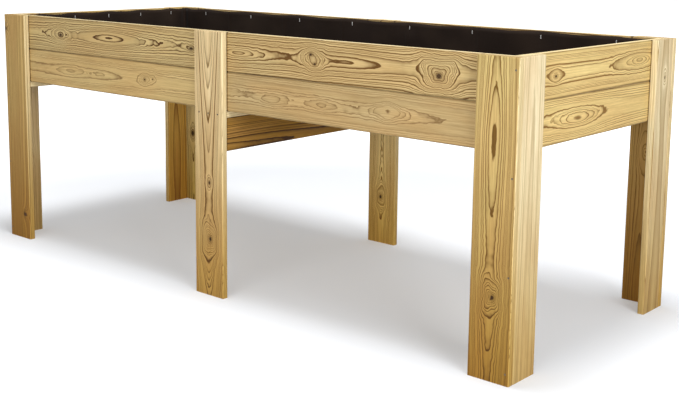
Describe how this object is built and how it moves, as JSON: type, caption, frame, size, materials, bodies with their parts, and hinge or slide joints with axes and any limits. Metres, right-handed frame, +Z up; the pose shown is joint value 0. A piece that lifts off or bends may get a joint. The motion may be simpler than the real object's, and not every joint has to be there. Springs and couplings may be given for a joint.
{
  "type": "raised planter on legs",
  "caption": "Long rectangular wooden planter box of stacked planks, lined with dark cloth and standing on tall board legs with cross bearers and a slatted floor.",
  "frame": {"origin": "on the ground, under the middle of the planter", "axes": "+X along the planter to the right seen from the front, +Y from the front to the rear, +Z up"},
  "size_m": [2.12, 0.85, 0.8],
  "materials": {
    "leg_wood": "planed pressure-treated pine, matt, with strong growth rings and knots",
    "plank_wood": "planed pressure-treated pine, matt, with flat-sawn cathedral grain",
    "bearer_wood": "planed pressure-treated pine, matt, darker in the shade below the box",
    "slat_wood": "rough planed pressure-treated pine, matt",
    "liner_cloth": "matt non-woven ground cloth, almost black brown",
    "zinc_steel": "zinc plated nails, screws and staples"
  },
  "bodies": {
    "root": {"bearer_screws": "zinc_steel", "bearer_stiffener": "bearer_wood", "corner_leg_nails": "zinc_steel", "end_plank_screws": "zinc_steel", "front_left_leg_face_board": "leg_wood", "front_left_leg_side_board": "leg_wood", "front_left_lower_plank": "plank_wood", "front_left_upper_plank": "plank_wood", "front_middle_leg": "leg_wood", "front_plank_screws": "zinc_steel", "front_right_leg_face_board": "leg_wood", "front_right_leg_side_board": "leg_wood", "front_right_lower_plank": "plank_wood", "front_right_upper_plank": "plank_wood", "left_end_bearer": "bearer_wood", "left_end_lower_plank": "plank_wood", "left_end_upper_plank": "plank_wood", "left_floor_slat_1": "slat_wood", "left_floor_slat_2": "slat_wood", "left_floor_slat_3": "slat_wood", "left_floor_slat_4": "slat_wood", "left_floor_slat_5": "slat_wood", "left_floor_slat_6": "slat_wood", "left_floor_slat_7": "slat_wood", "liner": "liner_cloth", "liner_staples": "zinc_steel", "middle_bearer": "bearer_wood", "middle_leg_nails": "zinc_steel", "rear_left_leg_face_board": "leg_wood", "rear_left_leg_side_board": "leg_wood", "rear_left_lower_plank": "plank_wood", "rear_left_upper_plank": "plank_wood", "rear_middle_leg": "leg_wood", "rear_plank_screws": "zinc_steel", "rear_right_leg_face_board": "leg_wood", "rear_right_leg_side_board": "leg_wood", "rear_right_lower_plank": "plank_wood", "rear_right_upper_plank": "plank_wood", "right_end_bearer": "bearer_wood", "right_end_lower_plank": "plank_wood", "right_end_upper_plank": "plank_wood", "right_floor_slat_1": "slat_wood", "right_floor_slat_2": "slat_wood", "right_floor_slat_3": "slat_wood", "right_floor_slat_4": "slat_wood", "right_floor_slat_5": "slat_wood", "right_floor_slat_6": "slat_wood", "right_floor_slat_7": "slat_wood", "slat_nails": "zinc_steel", "stiffener_screws": "zinc_steel"}
  },
  "joints": []
}
